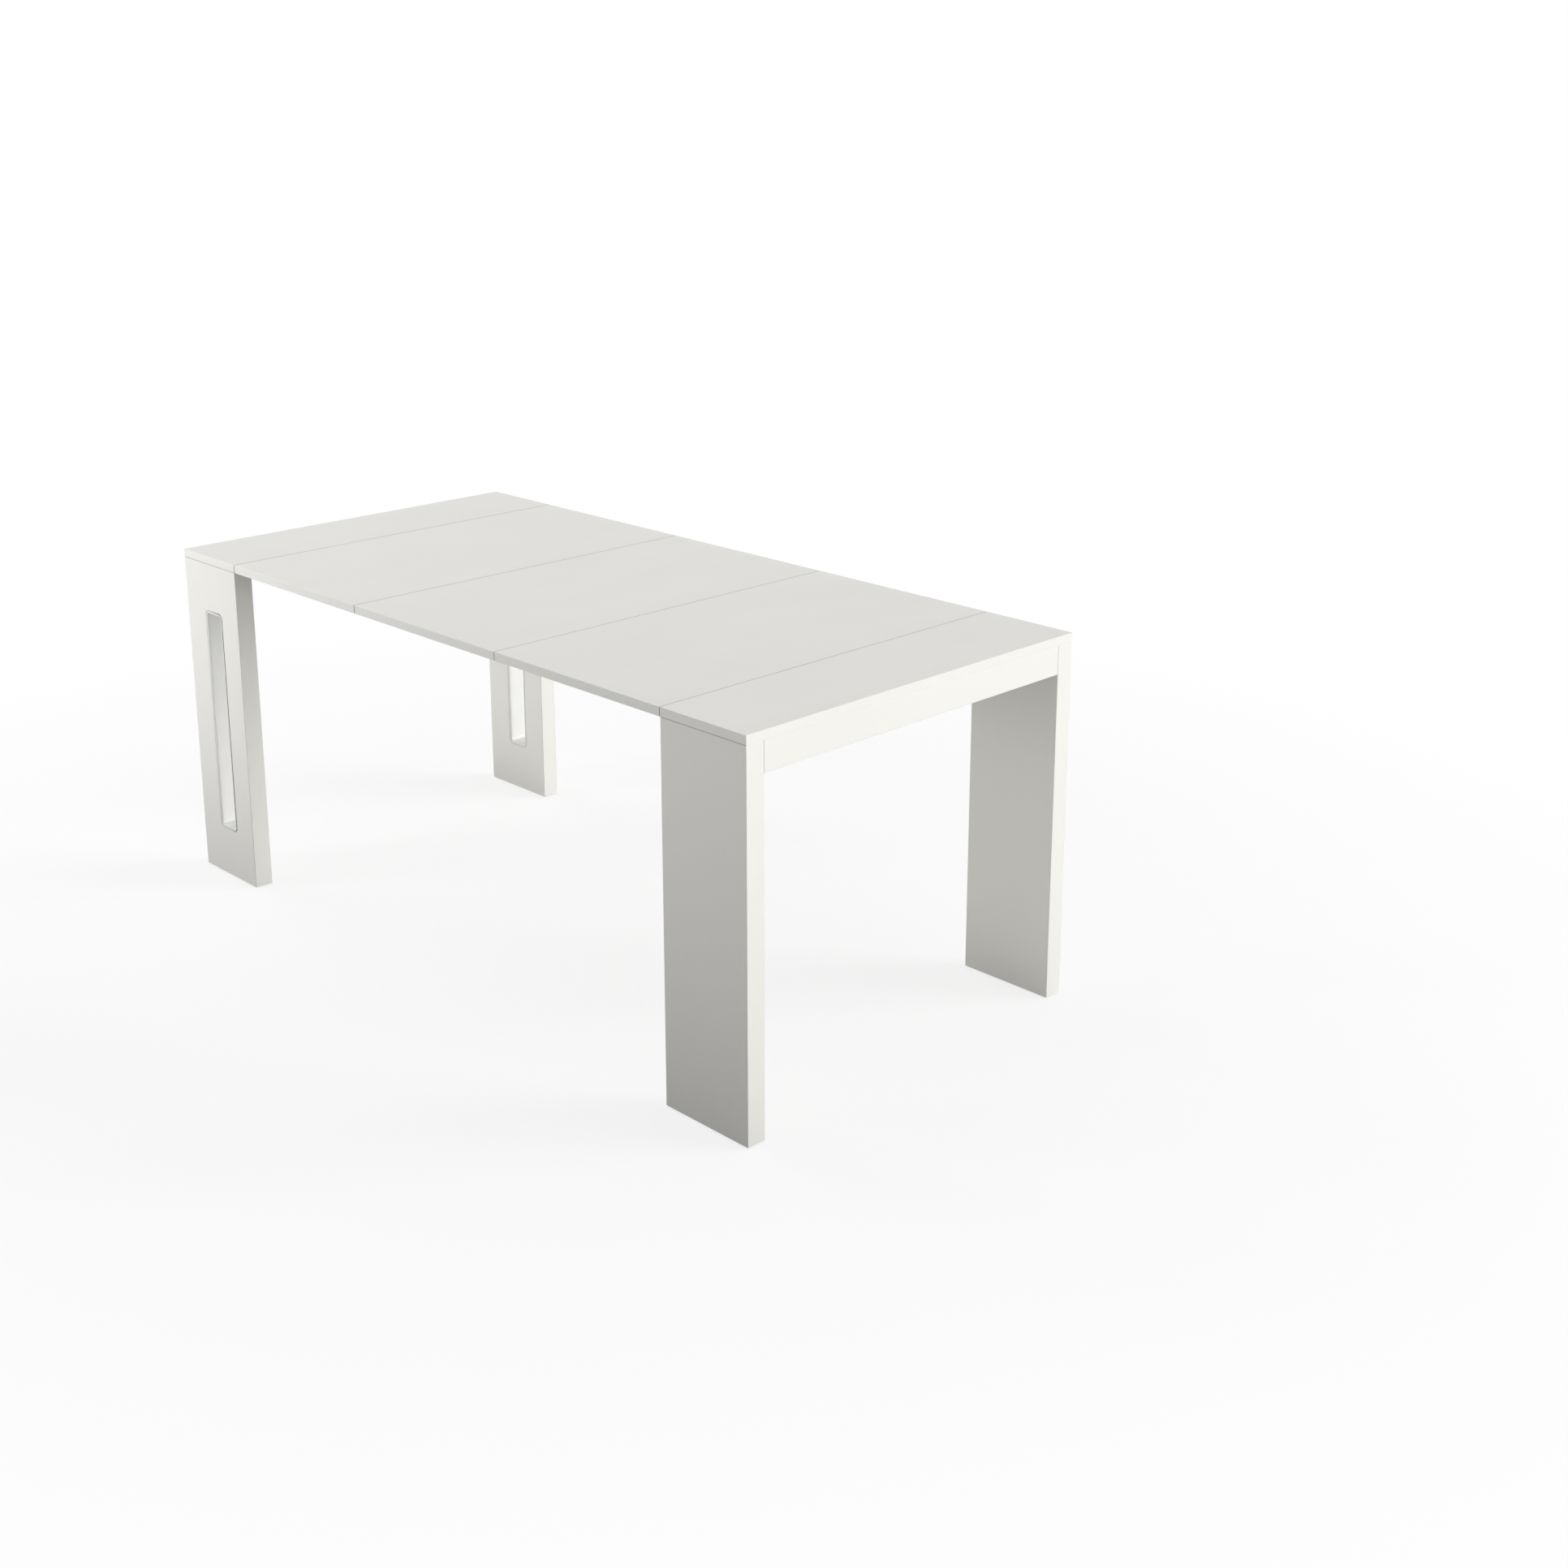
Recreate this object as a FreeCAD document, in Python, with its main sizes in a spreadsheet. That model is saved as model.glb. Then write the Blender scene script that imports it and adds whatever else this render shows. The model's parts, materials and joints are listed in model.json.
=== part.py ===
"""Extending console table, drawn out with its three leaves on.

X runs along the table from the storage end to the moving end, Y across it, Z up. The origin is on the floor
under the middle of the table. Lengths are millimetres.
"""
import FreeCAD, Part
from collections import namedtuple
import math
import os

import Sketcher

doc = FreeCAD.newDocument("extending_console_table")

# Driving dimensions, one named cell each

SIZES = (
    ("table_width", 880, "across the table, outside of leg to outside of leg"),
    ("table_height", 765, "floor to table top"),
    ("end_length", 216, "each end's top board, along the table"),
    ("leaf_length", 470, "each loose leaf, along the table"),
    ("leaf_count", 3, "loose leaves"),
    ("board_thickness", 18, "top boards and leaves"),
    ("seam_gap", 0.5, "between neighbouring top boards"),
    ("edge_ease", 0.6, "chamfer on every board edge"),
    ("leg_thickness", 42, "across the table"),
    ("leg_setback", 1, "leg stops short of the inner edge of its top"),
    ("foot_lift", 2, "leg's bottom above the floor"),
    ("apron_height", 59, "board between the legs of an end"),
    ("apron_thickness", 18, "same board, along the table"),
    ("slot_inset", 77, "outer edge of the storage leg to its slot"),
    ("slot_corner", 12, "radius of the slot's corners"),
    ("slot_clearance", 3, "room beside the stowed leaves"),
    ("leaf_headroom", 38, "room above the stowed leaves"),
    ("liner_wall", 6, "sleeve that lines the slot"),
    ("liner_ease", 1.2, "chamfer on the sleeve's edges"),
    ("liner_fit", 0.3, "sleeve to leg, all round"),
    ("rail_stages", 6, "members side by side in each rail"),
    ("rail_inset", 75, "inner face of a leg to the outer face of the rail beside it"),
    ("rail_width", 16, "one member, across the table"),
    ("rail_height", 42, "one member"),
    ("rail_gap", 0.4, "between neighbouring members"),
    ("rail_top_gap", 0.3, "members to the boards above them"),
    ("rail_end_gap", 4, "apron to the end of the member beside it"),
    ("groove_mouth", 8, "opening of the T-slot in each side of a member"),
    ("groove_height", 16, "T-slot behind its lips"),
    ("groove_depth", 4, "T-slot behind its lips"),
    ("lip_thickness", 2, "lips of the T-slot"),
    ("stop_length", 6, "plug that ends a member's groove"),
    ("run_clearance", 0.3, "slider and stop in their grooves"),
    ("stop_gap", 0.2, "slider to its stop when the table is drawn out"),
    ("bracket_leg", 35, "both legs of the steel angles"),
    ("bracket_wall", 2.5, "thickness of the steel angles"),
    ("bracket_width", 40, "steel angles, along the table"),
    ("bracket_bend", 2, "radius inside the bend of the angles"),
    ("bracket_inset", 50, "middle of a corner angle from the leg's edge"),
    ("rail_bracket_inset", 55, "middle of a rail angle from the edge of the top"),
    ("screw_spread", 20, "between the two screws of one angle leg"),
    ("screw_offset", 21, "screws from the back of the angle"),
    ("screw_radius", 2, "shank of the wood screws"),
    ("screw_length", 13, "wood screws below the head"),
    ("screw_tip", 3, "pointed end of the wood screws"),
    ("screw_head_radius", 4, "pan head of the wood screws"),
    ("screw_head_height", 2.4, "pan head of the wood screws"),
    ("screw_fit", 0.15, "screw and bolt shanks in their holes, on the radius"),
    ("screw_end_room", 1, "below the tip of a screw or dowel in its hole"),
    ("bolt_radius", 2.5, "bolts into the slot nuts"),
    ("bolt_head_radius", 4.5, "bolts into the slot nuts"),
    ("bolt_head_height", 3, "bolts into the slot nuts"),
    ("nut_length", 18, "slot nuts, along the rail"),
    ("dowel_radius", 4, "dowels in the frame joints"),
    ("dowel_length", 30, "dowels in the frame joints"),
    ("dowel_in_top", 11, "leg dowels inside the top board"),
    ("dowel_inset", 28, "leg dowels from the leg's edges"),
    ("dowel_spread", 30, "between the two dowels of an apron end"),
    ("dowel_ease", 1, "chamfer on the ends of dowels and edge pins"),
    ("dowel_fit", 0.1, "glued dowel or pin in its hole, on the radius"),
    ("pin_radius", 4, "edge pins that line the boards up"),
    ("pin_length", 30, "edge pins"),
    ("pin_reach", 12, "edge pins out of their own board"),
    ("pin_inset", 120, "outer edge pins from the sides of the table"),
    ("pin_fit", 0.3, "edge pins in the neighbouring board, on the radius"),
    ("glide_radius", 11, "nylon glides under the legs"),
    ("glide_height", 6, "nylon glides under the legs"),
    ("glide_ease", 1.2, "lower edge of the glides"),
    ("glide_inset", 32, "glides from the leg's edges"),
    ("glide_fit", 0.2, "glides in their recesses, on the radius"),
    ("overrun", 5, "cuts past the far side of what they pierce"),
)

sheet = doc.addObject("Spreadsheet::Sheet", "dims")
for row, (alias, size, note) in enumerate(SIZES, start=1):
    sheet.set(f"A{row}", note)
    sheet.set(f"B{row}", str(size))
    sheet.setAlias(f"B{row}", alias)
doc.recompute()


def value(expression):
    """An expression's number, from the sheet as it stands."""
    return float(sheet.evalExpression(expression))


# Lengths and heights worked out from the sizes, written as expressions

head_flat_share = "0.7"  # flat of a pan head, of its radius
slot_base_share = "0.51"  # below the slot, of what the slot leaves of the leg's height

leaf_pitch = "(dims.leaf_length + dims.seam_gap)"
travel = f"(dims.leaf_count * {leaf_pitch})"
closed_length = "(2 * dims.end_length + dims.seam_gap)"
table_length = f"({closed_length} + {travel})"
half_length = f"({table_length} / 2)"
half_width = "(dims.table_width / 2)"
top_underside = "(dims.table_height - dims.board_thickness)"

leg_breadth = "(dims.end_length - dims.leg_setback)"
leg_height = f"({top_underside} - dims.foot_lift)"
inner_width = "(dims.table_width - 2 * dims.leg_thickness)"

slot_width = "(dims.leaf_count * dims.board_thickness + dims.slot_clearance + 2 * dims.liner_wall)"
slot_height = "(dims.leaf_length + dims.leaf_headroom + 2 * dims.liner_wall)"
slot_base = f"({slot_base_share} * ({leg_height} - {slot_height}))"

rail_start = "(dims.apron_thickness + dims.rail_end_gap)"
rail_length = f"({closed_length} - 2 * {rail_start})"
stage_travel = f"({travel} / (dims.rail_stages - 1))"
slider_length = f"({rail_length} - {stage_travel} - dims.stop_length - dims.stop_gap)"
rail_outset = f"({inner_width} / 2 - dims.rail_inset)"
rail_base = f"({top_underside} - dims.rail_top_gap - dims.rail_height)"
rail_middle = f"({rail_base} + dims.rail_height / 2)"
rail_pitch = "(dims.rail_width + dims.rail_gap)"
key_thickness = "(dims.groove_depth - dims.run_clearance)"
key_height = "(dims.groove_height - 2 * dims.run_clearance)"

bracket_base = f"({top_underside} - dims.bracket_leg)"
pin_seat = "(dims.pin_length - dims.pin_reach)"
screw_bite = "(dims.screw_length - dims.bracket_wall + dims.screw_end_room)"

ENDS = ("storage", "moving")
SIDES = {"left": "-1", "right": "1"}  # left is -Y


# Sketches and features

def sketch_on(body, name, role, offset="0"):
    """An empty sketch on one of the body's own planes, moved along the plane's normal."""
    plane = next(f for f in body.Origin.OriginFeatures if f.Role == role)
    sketch = body.newObject("Sketcher::SketchObject", f"{body.Name}_{name}")
    sketch.AttachmentSupport = [(plane, "")]
    sketch.MapMode = "FlatFace"
    sketch.setExpression("AttachmentOffset.Base.z", offset)
    return sketch


def hold(sketch, kind, first, second, expression):
    """A driven distance from one sketch point to another."""
    number = sketch.addConstraint(Sketcher.Constraint(kind, *first, *second, value(expression)))
    sketch.setExpression(f"Constraints[{number}]", expression)


ORIGIN = (-1, 1)


def add_polygon(sketch, points):
    """Straight sides through points given as pairs of expressions."""
    first = sketch.GeometryCount
    spots = [FreeCAD.Vector(value(x), value(y), 0) for x, y in points]
    for spot, following in zip(spots, spots[1:] + spots[:1]):
        sketch.addGeometry(Part.LineSegment(spot, following), False)
    for number, (x, y) in enumerate(points):
        side = first + number
        following = first + (number + 1) % len(points)
        sketch.addConstraint(Sketcher.Constraint("Coincident", side, 2, following, 1))
        hold(sketch, "DistanceX", ORIGIN, (side, 1), x)
        hold(sketch, "DistanceY", ORIGIN, (side, 1), y)


def add_rectangle(sketch, width, height):
    """A rectangle with one corner on the sketch's origin."""
    add_polygon(sketch, [("0", "0"), (width, "0"), (width, height), ("0", height)])


def add_rounded_rectangle(sketch, left, bottom, width, height, radius):
    """A rectangle with equal round corners, its lower left corner set off from the origin."""
    x0, y0, r = value(left), value(bottom), value(radius)
    x1, y1 = x0 + value(width), y0 + value(height)
    first = sketch.GeometryCount
    sides = (
        ((x0 + r, y0), (x1 - r, y0)),
        ((x1, y0 + r), (x1, y1 - r)),
        ((x1 - r, y1), (x0 + r, y1)),
        ((x0, y1 - r), (x0, y0 + r)),
    )
    centres = ((x1 - r, y0 + r), (x1 - r, y1 - r), (x0 + r, y1 - r), (x0 + r, y0 + r))
    for start, end in sides:
        line = Part.LineSegment(FreeCAD.Vector(*start, 0), FreeCAD.Vector(*end, 0))
        sketch.addGeometry(line, False)
    for quarter, centre in enumerate(centres):
        circle = Part.Circle(FreeCAD.Vector(*centre, 0), FreeCAD.Vector(0, 0, 1), r)
        turn = math.pi / 2
        sketch.addGeometry(Part.ArcOfCircle(circle, (quarter - 1) * turn, quarter * turn), False)
    lines = [first + n for n in range(4)]
    arcs = [first + 4 + n for n in range(4)]
    for n in range(4):
        sketch.addConstraint(Sketcher.Constraint("Tangent", lines[n], 2, arcs[n], 1))
        sketch.addConstraint(Sketcher.Constraint("Tangent", arcs[n], 2, lines[(n + 1) % 4], 1))
        sketch.addConstraint(Sketcher.Constraint(("Horizontal", "Vertical")[n % 2], lines[n]))
    for arc in arcs[1:]:
        sketch.addConstraint(Sketcher.Constraint("Equal", arcs[0], arc))
    number = sketch.addConstraint(Sketcher.Constraint("Radius", arcs[0], r))
    sketch.setExpression(f"Constraints[{number}]", radius)
    hold(sketch, "DistanceX", ORIGIN, (lines[3], 1), left)
    hold(sketch, "DistanceY", ORIGIN, (lines[0], 1), bottom)
    hold(sketch, "DistanceX", (lines[3], 1), (lines[1], 1), width)
    hold(sketch, "DistanceY", (lines[0], 1), (lines[2], 1), height)


def pad(body, sketch, length, back=False):
    """The body's first solid."""
    solid = body.newObject("PartDesign::Pad", f"{body.Name}_pad")
    solid.Profile = sketch
    solid.Reversed = back
    solid.setExpression("Length", length)
    doc.recompute()
    return solid


def ease(body, solid, size):
    """A chamfer on every edge."""
    eased = body.newObject("PartDesign::Chamfer", f"{body.Name}_eased")
    eased.Base = (solid, [""])
    eased.UseAllEdges = True
    eased.setExpression("Size", size)
    doc.recompute()


Box = namedtuple("Box", "length width height")  # sizes of a piece along X, Y and Z

# each face of a piece's box: the plane it lies along, the size that sets it off, and whether a
# cut into the piece runs along the plane's normal
FACES = {
    "bottom": ("XY_Plane", None, True),
    "top": ("XY_Plane", "height", False),
    "start": ("YZ_Plane", None, True),
    "end": ("YZ_Plane", "length", False),
    "near": ("XZ_Plane", None, False),
    "far": ("XZ_Plane", "width", True),
}


def drill(body, name, box, face, spots, radius, depth):
    """Round holes square to a face of the body's box, at spots given in that face's own axes."""
    role, size, along = FACES[face]
    offset = getattr(box, size) if size else "0"
    if role == "XZ_Plane":
        offset = f"-({offset})"
    before = body.Shape.Volume
    sketch = sketch_on(body, f"{name}_spots", role, offset)
    for number, (x, y) in enumerate(spots):
        centre = FreeCAD.Vector(value(x), value(y), 0)
        circle = Part.Circle(centre, FreeCAD.Vector(0, 0, 1), value(radius))
        sketch.addGeometry(circle, False)
        hold(sketch, "DistanceX", ORIGIN, (number, 3), x)
        hold(sketch, "DistanceY", ORIGIN, (number, 3), y)
        constraint = sketch.addConstraint(Sketcher.Constraint("Radius", number, value(radius)))
        sketch.setExpression(f"Constraints[{constraint}]", radius)
    cut = body.newObject("PartDesign::Pocket", f"{body.Name}_{name}")
    cut.Profile = sketch
    cut.Reversed = along
    cut.setExpression("Length", depth)
    doc.recompute()
    if not body.Shape.Volume < before:
        raise RuntimeError(f"{name} cut nothing from {body.Label}")


def place(piece, x, y, z):
    """Sets a piece down in the table's frame."""
    for axis, expression in zip("xyz", (x, y, z)):
        piece.setExpression(f"Placement.Base.{axis}", expression)


def new_body(label):
    body = doc.addObject("PartDesign::Body", label)
    body.Label = label
    return body


def board(label, box):
    """A flat board lying along X and Y, every edge eased."""
    body = new_body(label)
    outline = sketch_on(body, "outline", "XY_Plane")
    add_rectangle(outline, box.length, box.width)
    ease(body, pad(body, outline, box.height), "dims.edge_ease")
    return body


def extrusion(label, points, length, middle=False):
    """A profile in Y and Z drawn out along X, from its end or about its middle."""
    body = new_body(label)
    outline = sketch_on(body, "profile", "YZ_Plane", f"-({length}) / 2" if middle else "0")
    add_polygon(outline, points)
    pad(body, outline, length)
    return body


def turned(label, points):
    """A profile of radii and heights turned about Z."""
    body = new_body(label)
    outline = sketch_on(body, "profile", "XZ_Plane")
    add_polygon(outline, points)
    solid = body.newObject("PartDesign::Revolution", f"{label}_turned")
    solid.Profile = outline
    solid.ReferenceAxis = (outline, ["V_Axis"])
    doc.recompute()
    return body


X_AXIS, Y_AXIS, Z_AXIS = FreeCAD.Vector(1, 0, 0), FreeCAD.Vector(0, 1, 0), FreeCAD.Vector(0, 0, 1)
TURNS = {
    "up": FreeCAD.Rotation(),
    "about": FreeCAD.Rotation(Z_AXIS, 180),
    "to_end": FreeCAD.Rotation(Y_AXIS, 90),
    "to_right": FreeCAD.Rotation(X_AXIS, -90),
    "to_left": FreeCAD.Rotation(X_AXIS, 90),
}


def copies(label, master, places):
    """One node of separate solids: copies of a master piece, each with its place and its turn."""
    links = []
    for number, (x, y, z, turn) in enumerate(places, start=1):
        link = doc.addObject("App::Link", f"{label}_{number}")
        link.LinkedObject = master
        link.Placement = FreeCAD.Placement(FreeCAD.Vector(), TURNS[turn])
        place(link, x, y, z)
        links.append(link)
    group = doc.addObject("Part::Compound", label)
    group.Label = label
    group.Links = links
    nodes.append(group)


nodes = []


# Places along an end, counted in from its outer face

def end_x(end, distance):
    """Table X of a point that far in from the end's outer face."""
    return f"-{half_length} + ({distance})" if end == "storage" else f"{half_length} - ({distance})"


def local_x(end, distance, span):
    """The same point's X on a piece of that span which reaches the outer face."""
    return distance if end == "storage" else f"({span}) - ({distance})"


def start_x(end, span):
    """Table X of the -X edge of a piece of that span which reaches the outer face."""
    return f"-{half_length}" if end == "storage" else f"{half_length} - ({span})"


def pair(first, span):
    """Two distances, the same in from both edges of a span."""
    return (first, f"({span}) - ({first})")


def two_about(middle, spread):
    """Two distances, evenly about a middle."""
    return (f"({middle}) - ({spread}) / 2", f"({middle}) + ({spread}) / 2")


# Places that several pieces share

bracket_spots = pair("dims.bracket_inset", leg_breadth)
rail_bracket_spots = pair("dims.rail_bracket_inset", "dims.end_length")
dowel_spots = pair("dims.dowel_inset", leg_breadth)
glide_spots = pair("dims.glide_inset", leg_breadth)
pin_spots = ("dims.pin_inset", half_width, "dims.table_width - dims.pin_inset")
apron_dowel_rise = two_about("dims.apron_height / 2", "dims.dowel_spread")


def rail_outer(stage):
    """Table's middle to the outer face of a rail member."""
    return f"({rail_outset} - {stage - 1} * {rail_pitch})"


def rail_x(stage):
    """Table X of the -X end of a rail member."""
    return f"-{half_length} + {rail_start} + {stage - 1} * {stage_travel}"


LAST_STAGE = int(value("dims.rail_stages"))
LEAVES = range(1, int(value("dims.leaf_count")) + 1)


def rail_face(end):
    """Table's middle to the free face of the member that an end carries, and the way out of it."""
    if end == "storage":
        return rail_outer(1), "1"
    return f"({rail_outer(LAST_STAGE)} - dims.rail_width)", "-1"


def top_screw_spots(end):
    """Screw places in a top board, as distances from the outer face and from the table's middle."""
    spots = []
    corner = f"{half_width} - dims.leg_thickness - dims.screw_offset"
    for middle in bracket_spots:
        spots += [(x, corner) for x in two_about(middle, "dims.screw_spread")]
    face, way = rail_face(end)
    for middle in rail_bracket_spots:
        reach = f"{face} + ({way}) * dims.screw_offset"
        spots += [(x, reach) for x in two_about(middle, "dims.screw_spread")]
    return spots


# Top boards and leaves

top_box = Box("dims.end_length", "dims.table_width", "dims.board_thickness")
leaf_box = Box("dims.leaf_length", "dims.table_width", "dims.board_thickness")
edge_spots = [(y, "dims.board_thickness / 2") for y in pin_spots]
pin_socket = ("dims.pin_radius + dims.pin_fit", "dims.pin_reach - dims.seam_gap + dims.screw_end_room")
pin_hold = ("dims.pin_radius + dims.dowel_fit", pin_seat)


def end_top(end):
    body = board(f"{end}_end_top", top_box)
    face, hole = ("end", pin_hold) if end == "storage" else ("start", pin_socket)
    drill(body, "pin_holes", top_box, face, edge_spots, *hole)
    screws = [
        (local_x(end, x, "dims.end_length"), f"{half_width} + ({sign}) * ({y})")
        for sign in SIDES.values()
        for x, y in top_screw_spots(end)
    ]
    drill(body, "screw_holes", top_box, "bottom", screws, "dims.screw_radius + dims.screw_fit", screw_bite)
    dowels = [
        (local_x(end, x, "dims.end_length"), y)
        for x in dowel_spots
        for y in pair("dims.leg_thickness / 2", "dims.table_width")
    ]
    drill(body, "dowel_holes", top_box, "bottom", dowels, "dims.dowel_radius + dims.dowel_fit",
          "dims.dowel_in_top + dims.screw_end_room")
    place(body, start_x(end, "dims.end_length"), f"-{half_width}", top_underside)
    nodes.append(body)


def leaf_x(number):
    return f"-{half_length} + dims.end_length + dims.seam_gap + {number - 1} * {leaf_pitch}"


def leaf(number):
    body = board(f"leaf_{number}", leaf_box)
    drill(body, "pin_sockets", leaf_box, "start", edge_spots, *pin_socket)
    drill(body, "pin_holes", leaf_box, "end", edge_spots, *pin_hold)
    place(body, leaf_x(number), f"-{half_width}", top_underside)
    nodes.append(body)


def eased_pin(label, radius, length):
    """A round pin with both ends chamfered, standing up."""
    return turned(label, [
        ("0", "0"),
        (f"{radius} - dims.dowel_ease", "0"),
        (radius, "dims.dowel_ease"),
        (radius, f"{length} - dims.dowel_ease"),
        (f"{radius} - dims.dowel_ease", length),
        ("0", length),
    ])


def edge_pins(label, edge, master):
    """The pins that stand out of a board's +X edge."""
    height = f"{top_underside} + dims.board_thickness / 2"
    places = [(f"{edge} - {pin_seat}", f"{y} - {half_width}", height, "to_end") for y in pin_spots]
    copies(label, master, places)


# Legs, slot liners and aprons

leg_box = Box(leg_breadth, "dims.leg_thickness", leg_height)


def leg(end, side):
    body = new_body(f"{end}_leg_{side}")
    outline = sketch_on(body, "outline", "XZ_Plane")
    add_rectangle(outline, leg_breadth, leg_height)
    if end == "storage":
        add_rounded_rectangle(outline, "dims.slot_inset", slot_base, slot_width, slot_height,
                              "dims.slot_corner")
    ease(body, pad(body, outline, "dims.leg_thickness", back=True), "dims.edge_ease")

    inside = "far" if side == "left" else "near"
    screws = [
        (local_x(end, x, leg_breadth), f"{leg_height} - dims.screw_offset")
        for middle in bracket_spots
        for x in two_about(middle, "dims.screw_spread")
    ]
    drill(body, "screw_holes", leg_box, inside, screws, "dims.screw_radius + dims.screw_fit", screw_bite)
    apron_dowels = [
        (local_x(end, "dims.apron_thickness / 2", leg_breadth), f"{leg_height} - ({rise})")
        for rise in apron_dowel_rise
    ]
    dowel_hole = "dims.dowel_radius + dims.dowel_fit"
    drill(body, "apron_dowel_holes", leg_box, inside, apron_dowels, dowel_hole,
          "dims.dowel_length / 2 + dims.screw_end_room")
    top_dowels = [(local_x(end, x, leg_breadth), "dims.leg_thickness / 2") for x in dowel_spots]
    drill(body, "top_dowel_holes", leg_box, "top", top_dowels, dowel_hole,
          "dims.dowel_length - dims.dowel_in_top + dims.screw_end_room")
    glides = [(x, "dims.leg_thickness / 2") for x in glide_spots]
    drill(body, "glide_recesses", leg_box, "bottom", glides, "dims.glide_radius + dims.glide_fit",
          "dims.glide_height - dims.foot_lift")

    near_edge = f"-{half_width}" if side == "left" else f"{half_width} - dims.leg_thickness"
    place(body, start_x(end, leg_breadth), near_edge, "dims.foot_lift")
    nodes.append(body)


def slot_liner(side):
    """The sleeve that lines a storage leg's slot, flush with both faces of the leg."""
    body = new_body(f"slot_liner_{side}")
    ring = sketch_on(body, "ring", "XZ_Plane")
    add_rounded_rectangle(ring, "dims.slot_inset + dims.liner_fit", f"{slot_base} + dims.liner_fit",
                          f"{slot_width} - 2 * dims.liner_fit", f"{slot_height} - 2 * dims.liner_fit",
                          "dims.slot_corner - dims.liner_fit")
    add_rounded_rectangle(ring, "dims.slot_inset + dims.liner_wall", f"{slot_base} + dims.liner_wall",
                          f"{slot_width} - 2 * dims.liner_wall", f"{slot_height} - 2 * dims.liner_wall",
                          "dims.slot_corner - dims.liner_wall")
    ease(body, pad(body, ring, "dims.leg_thickness", back=True), "dims.liner_ease")
    near_edge = f"-{half_width}" if side == "left" else f"{half_width} - dims.leg_thickness"
    place(body, f"-{half_length}", near_edge, "dims.foot_lift")
    nodes.append(body)


def apron(end):
    box = Box("dims.apron_thickness", inner_width, "dims.apron_height")
    body = board(f"{end}_end_apron", box)
    spots = [("dims.apron_thickness / 2", f"dims.apron_height - ({rise})") for rise in apron_dowel_rise]
    for name, face in (("left_dowel_holes", "near"), ("right_dowel_holes", "far")):
        drill(body, name, box, face, spots, "dims.dowel_radius + dims.dowel_fit",
              "dims.dowel_length / 2 + dims.screw_end_room")
    base = f"{top_underside} - dims.apron_height"
    place(body, start_x(end, "dims.apron_thickness"), f"-{inner_width} / 2", base)
    nodes.append(body)


# Dowels and glides

def frame_dowels(end, master):
    """Upright dowels from the legs into the top, and level ones from the apron into the legs."""
    places = []
    for sign in SIDES.values():
        for x in dowel_spots:
            places.append((
                end_x(end, x),
                f"({sign}) * ({half_width} - dims.leg_thickness / 2)",
                f"{top_underside} + dims.dowel_in_top - dims.dowel_length",
                "up",
            ))
        for rise in apron_dowel_rise:
            places.append((
                end_x(end, "dims.apron_thickness / 2"),
                f"({sign}) * {inner_width} / 2 - dims.dowel_length / 2",
                f"{top_underside} - ({rise})",
                "to_right",
            ))
    copies(f"{end}_frame_dowels", master, places)


def foot_glide():
    return turned("foot_glide", [
        ("0", "0"),
        ("dims.glide_radius - dims.glide_ease", "0"),
        ("dims.glide_radius", "dims.glide_ease"),
        ("dims.glide_radius", "dims.glide_height"),
        ("0", "dims.glide_height"),
    ])


def foot_glides(end, master):
    middle = f"({half_width} - dims.leg_thickness / 2)"
    places = [
        (end_x(end, x), f"({sign}) * {middle}", "0", "up")
        for sign in SIDES.values()
        for x in glide_spots
    ]
    copies(f"{end}_foot_glides", master, places)


# Steel angles with their screws, bolts and slot nuts

def angle(label, upright_spots, upright_radius):
    """A bent steel angle, its back at Y zero and its level leg at the top, with holes in both legs."""
    wall, size = "dims.bracket_wall", "dims.bracket_leg"
    body = extrusion(label, [
        ("0", "0"),
        (wall, "0"),
        (wall, f"{size} - {wall}"),
        (size, f"{size} - {wall}"),
        (size, size),
        ("0", size),
    ], "dims.bracket_width", middle=True)
    solid = body.Tip
    bends = {}
    for number, edge in enumerate(solid.Shape.Edges, start=1):
        middle = edge.BoundBox.Center
        for radius, y, z in (
            ("dims.bracket_bend", wall, f"{size} - {wall}"),
            (f"dims.bracket_bend + {wall}", "0", size),
        ):
            if FreeCAD.Vector(0, value(y), value(z)).isEqual(middle, Part.Precision.confusion()):
                bends[radius] = f"Edge{number}"
    for number, (radius, edge) in enumerate(bends.items(), start=1):
        bend = body.newObject("PartDesign::Fillet", f"{label}_bend_{number}")
        bend.Base = (solid, [edge])
        bend.setExpression("Radius", radius)
        doc.recompute()
        solid = bend
    box = Box("dims.bracket_width", size, size)
    level = [(f"({side}) * dims.screw_spread / 2", "dims.screw_offset") for side in SIDES.values()]
    through = f"{wall} + dims.overrun"
    drill(body, "level_holes", box, "top", level, "dims.screw_radius + dims.screw_fit", through)
    drill(body, "upright_holes", box, "near", upright_spots, upright_radius, through)
    return body


def corner_angle():
    height = "dims.bracket_leg - dims.screw_offset"
    spots = [(f"({side}) * dims.screw_spread / 2", height) for side in SIDES.values()]
    return angle("corner_angle", spots, "dims.screw_radius + dims.screw_fit")


def rail_angle():
    height = f"dims.bracket_leg - ({top_underside} - {rail_middle})"
    return angle("rail_angle", [("0", height)], "dims.bolt_radius + dims.screw_fit")


def pan_screw(label, head_radius, head_height, radius, length, tip):
    """A screw pointing up: its head's flat at Z zero, its bearing face at the head's height."""
    return turned(label, [
        ("0", "0"),
        (f"{head_radius} * {head_flat_share}", "0"),
        (head_radius, head_height),
        (radius, head_height),
        (radius, f"{head_height} + {length} - {tip}"),
        (f"{radius} - {tip} / 2", f"{head_height} + {length}"),
        ("0", f"{head_height} + {length}"),
    ])


def wood_screw():
    return pan_screw("wood_screw", "dims.screw_head_radius", "dims.screw_head_height", "dims.screw_radius",
                     "dims.screw_length", "dims.screw_tip")


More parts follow.
